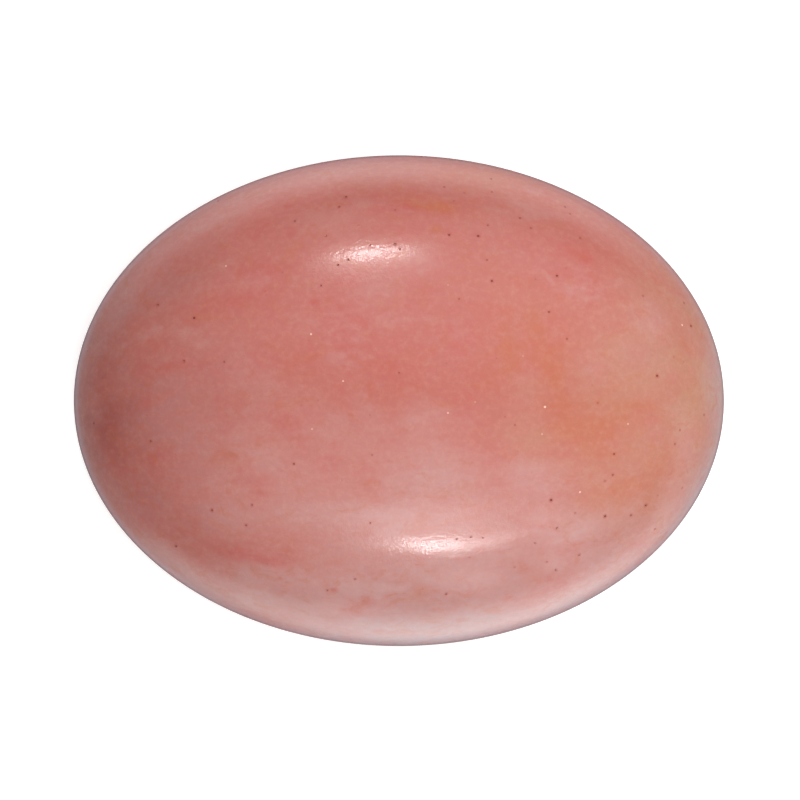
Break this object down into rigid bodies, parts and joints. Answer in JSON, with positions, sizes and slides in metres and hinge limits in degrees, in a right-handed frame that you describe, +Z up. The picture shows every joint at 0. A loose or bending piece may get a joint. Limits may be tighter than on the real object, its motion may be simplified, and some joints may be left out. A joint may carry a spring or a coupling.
{
  "type": "oval cabochon gemstone",
  "caption": "Oval peach opal cabochon with a polished dome, a low girdle wall, a narrow back bevel and a flat ground back to rest or be glued on.",
  "frame": {"origin": "centre of the flat back, on the surface the stone rests on", "axes": "+X along the oval's long axis, +Y along its short axis, +Z up from the back to the crown of the dome"},
  "size_m": [0.02, 0.0152, 0.0059],
  "materials": {
    "peach_opal": "vitreous hand polish on the dome and girdle wall, with pinhole pores; finely ground satin on the back"
  },
  "bodies": {
    "root": {"opal_cabochon": "peach_opal"}
  },
  "joints": []
}
